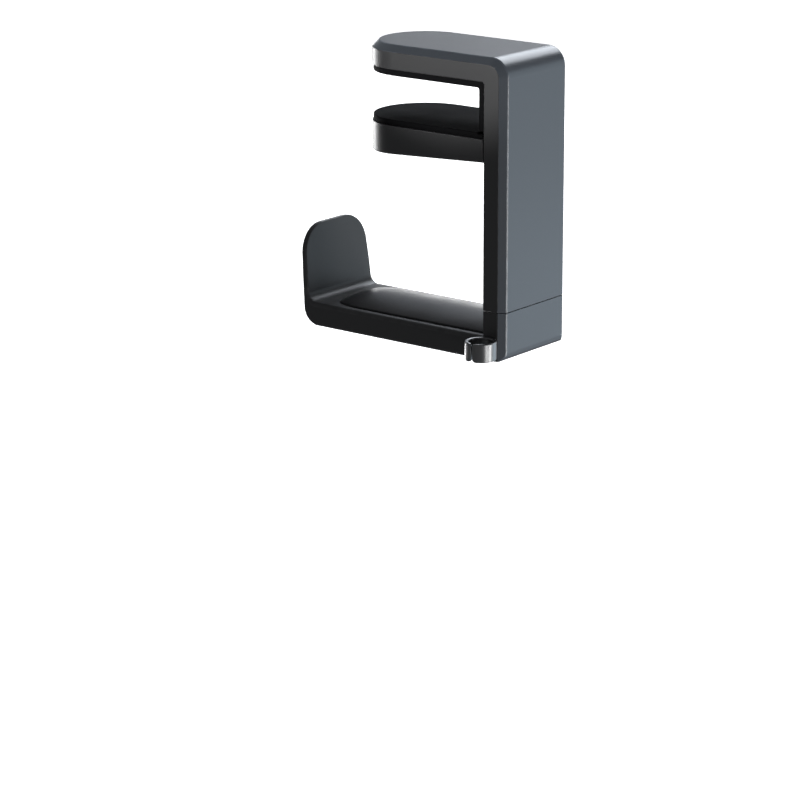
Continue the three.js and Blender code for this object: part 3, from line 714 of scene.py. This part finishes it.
def saddle():
    """Convex pad on the arm with a low wall round its foot, fading towards the paddle."""
    crest, wall, half = 3.75, 0.6, 18.25
    tip_x, tip = -48.0, 14.0  # the end towards the paddle, and the length it fades over
    end_x = SPINE_X - 0.25
    foot_z = BEAM_TOP + 0.02
    body_rows, tip_rows, columns = 6, 14, 26
    rows = [(end_x - (end_x - tip_x - tip) * i / body_rows, 1.0, 1.0) for i in range(body_rows + 1)]
    for i in range(1, tip_rows + 1):
        share = i / tip_rows
        turn = math.pi / 2 * share
        rows.append(
            (
                tip_x + tip * (1 - math.sin(turn)),
                0.06 + 0.94 * math.cos(turn) ** 1.2,
                0.55 + 0.45 * math.cos(turn) ** 0.8,
            )
        )
    bm = bmesh.new()
    grid = []
    for x, tall, wide in rows:
        reach = half * wide
        line = [bm.verts.new((x, -reach, foot_z))]
        for j in range(columns + 1):
            u = -math.cos(math.pi * j / columns)
            rounded = (1 - abs(u) ** 2.1) ** 0.9
            z = foot_z + tall * (wall + (crest - wall) * rounded)
            line.append(bm.verts.new((x, reach * u, z)))
        line.append(bm.verts.new((x, reach, foot_z)))
        grid.append(line)
    size = len(grid[0])
    for low, high in zip(grid, grid[1:]):
        for j in range(size):
            k = (j + 1) % size
            bm.faces.new((low[j], low[k], high[k], high[j]))
    bm.faces.new(grid[0])
    bm.faces.new(grid[-1])
    return new_object("saddle_cushion", bm)


saddle_cushion = saddle()
soften(saddle_cushion, lambda x, y, z, angle: 0 if z < BEAM_TOP + NEAR else 0.25)
smooth(saddle_cushion, 50)
place_piece(saddle_cushion, "hook", "saddle", saddle_rubber, "saddle_pad")


# ---------------------------------------------------------------- cable clip

CLIP_X, CLIP_Y = 39.0, -28.75
CLIP_IN, CLIP_OUT = 5.0, 6.5
CLIP_LOW, CLIP_HIGH = -108.75, -101.0
CLIP_MOUTH = 3.0  # half the angle of the mouth, in degrees
CLIP_FOOT_HALF, CLIP_FOOT_INSET = 2.5, 0.3


def cable_clip():
    """Open C ring with round-cornered fingers, and the foot that joins it to the base."""
    middle = (CLIP_IN + CLIP_OUT) / 2
    start = math.radians(-90 + CLIP_MOUTH) * middle
    end = math.radians(270 - CLIP_MOUTH) * middle
    corner, rim = 1.5, 0.45
    corner_steps, middle_rows = 5, 40
    turns = [math.pi / 2 * i / corner_steps for i in range(corner_steps + 1)]
    caps = [("start", t) for t in reversed(turns)]
    plain = [("middle", i / middle_rows) for i in range(1, middle_rows)]
    kinds = caps + plain + [("end", t) for t in turns]

    def edge_at(row, side, inset):
        kind, value = kinds[row]
        if kind == "middle":
            first, last = start + corner, end - corner
            return first + (last - first) * value, CLIP_LOW + inset, CLIP_HIGH - inset
        reach = corner - inset
        low = CLIP_LOW + corner - reach * math.cos(value)
        high = CLIP_HIGH - corner + reach * math.cos(value)
        if kind == "start":
            return start + corner - reach * math.sin(value), low, high
        return end - corner + reach * math.sin(value), low, high

    def place(along, across, side, depth):
        turn = along / middle
        radius = CLIP_IN + depth if side == "in" else CLIP_OUT - depth
        return CLIP_X + radius * math.cos(turn), CLIP_Y + radius * math.sin(turn), across

    clip = closed_plate("cable_ring", len(kinds), 6, edge_at, place, lambda *at: rim)
    foot = box(
        "foot",
        (CLIP_X - CLIP_FOOT_HALF, CLIP_X + CLIP_FOOT_HALF),
        (CLIP_Y + CLIP_IN + 0.6, -HALF - 0.02),
        (CLIP_LOW + CLIP_FOOT_INSET, CLIP_HIGH - CLIP_FOOT_INSET),
    )
    return combine(clip, foot, "UNION")


clip = smooth(cable_clip())
place_piece(clip, "hook", "clip", clip_plastic, "cable_clip")


# ---------------------------------------------------------------- springs


def spring(name, y):
    """Compression spring with closed ends, coiled round its guide rod."""
    turns, around, sides = 11, 20, 8
    wire, radius = 0.4, 2.4
    clear = 0.1
    low, high = SPRING_FOOT + wire + clear, SPRING_HEAD - wire - clear
    count = turns * around
    bm = bmesh.new()
    rings = []
    for i in range(count + 1):
        share = i / count
        angle = 2 * math.pi * turns * share
        eased = min(max((share * turns - 1) / (turns - 2), 0), 1)
        closed = 2 * wire * (min(share * turns, 1) + max(share * turns - turns + 1, 0))
        z = low + closed + (high - low - 4 * wire) * eased
        out = Vector((math.cos(angle), math.sin(angle), 0))
        ring = []
        for j in range(sides):
            turn = 2 * math.pi * j / sides
            point = out * (radius + wire * math.cos(turn))
            ring.append(bm.verts.new((PIVOT_X + point.x, y + point.y, z + wire * math.sin(turn))))
        rings.append(ring)
    for low_ring, high_ring in zip(rings, rings[1:]):
        for j in range(sides):
            k = (j + 1) % sides
            bm.faces.new((low_ring[j], low_ring[k], high_ring[k], high_ring[j]))
    bm.faces.new(rings[0])
    bm.faces.new(rings[-1])
    return new_object(name, bm)


for hand, y in (("left", -ROD_Y), ("right", ROD_Y)):
    coil = spring(f"coil_{hand}", y)
    coil.data.polygons.foreach_set("use_smooth", [True] * len(coil.data.polygons))
    place_piece(coil, "clamp", "steel", steel, f"jaw_spring_{hand}")
    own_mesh(coil)


# ---------------------------------------------------------------- carried-over CAD nodes

CAD_MATERIALS = {
    "pivot_block": casting,
    "jaw_slider": acetal,
    "swivel_bush": acetal,
    "thrust_washer": acetal,
}

for node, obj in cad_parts.items():
    if not obj.hide_render:
        obj.data.materials.clear()
        obj.data.materials.append(CAD_MATERIALS.get(node, steel))


# ---------------------------------------------------------------- camera, floor and light

CAMERA_PLACE = (0.7539, -0.9769, 0.2193)
CAMERA_ANGLES = (38.585, 16.208, -0.171)  # azimuth, elevation and roll, in degrees

camera_data = bpy.data.cameras.new("camera")
camera_data.lens = 137.51
camera_data.sensor_width = 36.0
camera = bpy.data.objects.new("camera", camera_data)
bpy.context.scene.collection.objects.link(camera)
azimuth, elevation, roll = (math.radians(a) for a in CAMERA_ANGLES)
back = Vector(
    (
        math.sin(azimuth) * math.cos(elevation),
        -math.cos(azimuth) * math.cos(elevation),
        math.sin(elevation),
    )
)
level = (-back).cross(Vector((0, 0, 1))).normalized()
upward = level.cross(-back)
right = math.cos(roll) * level + math.sin(roll) * upward
up = -math.sin(roll) * level + math.cos(roll) * upward
turned = Matrix((right, up, back)).transposed().to_4x4()
camera.matrix_world = Matrix.Translation(CAMERA_PLACE) @ turned
bpy.context.scene.camera = camera


def place_light(name, data, place, aim):
    """Stands a light at a place, facing another, unseen by the camera."""
    light = bpy.data.objects.new(name, data)
    bpy.context.scene.collection.objects.link(light)
    direction = Vector(aim) - Vector(place)
    turned = direction.to_track_quat("-Z", "Y").to_matrix().to_4x4()
    light.matrix_world = Matrix.Translation(place) @ turned
    light.visible_camera = False
    return light


def area_light(name, place, aim, size, power, colour):
    data = bpy.data.lights.new(name, "AREA")
    data.shape = "RECTANGLE"
    data.size, data.size_y = size
    data.energy = power
    data.color = colour
    return place_light(name, data, place, aim)


def spot_light(name, place, aim, power, cone, blend, radius):
    data = bpy.data.lights.new(name, "SPOT")
    data.energy = power
    data.spot_size = math.radians(cone)
    data.spot_blend = blend
    data.shadow_soft_size = radius
    return place_light(name, data, place, aim)


WHITE = (1, 1, 1)
CORNER_SKY = (0.88, 0.93, 1)
SKY = (0.76, 0.84, 1.0)
SLATE_SKY = (0.7, 0.85, 0.97)

# Each softbox stands where the part that its comment names mirrors it towards the camera:
# name, place, aim, size, power, colour.
SOFTBOXES = (
    # the bright line along the outer corner
    ("softbox_corner", (-0.26, 1.2, 0.86), (0.035, 0, 0.005), (1.1, 0.5), 14, CORNER_SKY),
    # the outer face
    ("softbox_right", (0.56, 0.72, -0.1), (0.04, 0, -0.05), (0.75, 0.64), 1.8, SLATE_SKY),
    # the lower outer face and the block
    ("floor_bounce", (0.32, 0.62, -0.42), (0.04, 0, -0.1), (0.7, 0.4), 0.7, SLATE_SKY),
    # the top face
    ("back_wall", (-1.5, 1.9, 0.75), (0, 0, -0.05), (2.6, 1.1), 2.0, SKY),
    # the far edges
    ("rim_back", (0.0, 1.6, -0.05), (0.0, 0, -0.05), (0.7, 0.6), 2.6, WHITE),
    # the round noses
    ("rim_left", (-1.3, 0.4, -0.26), (-0.03, 0, 0.0), (0.5, 0.5), 6.5, WHITE),
    # the cable clip
    ("strip_front", (0.84, -0.14, -0.31), (0.039, -0.029, -0.105), (0.28, 0.2), 1.75, WHITE),
    # the thin line beside the spine's chamfer
    ("strip_edge", (0.95, 0.28, -0.33), (0.044, -0.02, -0.05), (0.16, 0.7), 6.5, WHITE),
    # the saddle beside the spine
    ("horizon", (-1.3, 1.75, 0.0), (0.01, 0, -0.098), (1.3, 0.22), 5.2, WHITE),
)
for softbox in SOFTBOXES:
    area_light(*softbox)
# A pool of light on the upper arm's side, which fades out down the spine.
spot_light(
    "fill_side",
    (-0.3, -0.75, 0.12),
    (0.012, -0.022, 0.038),
    power=23,
    cone=8.8,
    blend=0.25,
    radius=0.01,
)

world = bpy.data.worlds.new("studio")
world.use_nodes = True
background = world.node_tree.nodes["Background"]
background.inputs["Color"].default_value = (0.95, 0.97, 1, 1)
background.inputs["Strength"].default_value = 0.2
bpy.context.scene.world = world
bpy.context.scene.view_settings.view_transform = "Standard"

FLOOR_Z = -0.36
STAGE_R = 8.0
STAGE_HEIGHT = 6.0


def studio_stage():
    """Round pale floor that curves up into a wall all the way round."""
    bm = bmesh.new()
    curve, curve_steps, sides = 2.0, 12, 64
    flat = STAGE_R - curve
    profile = [(0.01, FLOOR_Z), (flat / 2, FLOOR_Z)]
    profile += arc((flat, FLOOR_Z + curve), curve, -90, 0, curve_steps)
    profile.append((STAGE_R, STAGE_HEIGHT))
    rings = []
    for radius, z in profile:
        turns = [2 * math.pi * i / sides for i in range(sides)]
        rings.append(
            [bm.verts.new((radius * math.cos(t), radius * math.sin(t), z)) for t in turns]
        )
    bm.faces.new(rings[0])
    for low, high in zip(rings, rings[1:]):
        for i in range(sides):
            j = (i + 1) % sides
            bm.faces.new((low[i], low[j], high[j], high[i]))
    return smooth(new_object("studio_stage", bm, 1.0))


def stage_paint():
    """Pale paint that glows, so that the floor and wall are even without a light of their own."""
    nodes = Nodes("stage_paint")
    tone = nodes.mix(
        nodes.spread(nodes.noise(3, 2), 0, 1), (0.93, 0.93, 0.93), (0.95, 0.95, 0.95)
    )
    nodes.set(Base_Color=tone, Emission_Color=tone, Emission_Strength=1.0)
    nodes.set(Roughness=nodes.spread(nodes.noise(20), 0.7, 0.8))
    return nodes.material


stage = studio_stage()
stage.data.materials.append(stage_paint())
stage.visible_glossy = False
stage.visible_diffuse = False
stage.visible_shadow = False
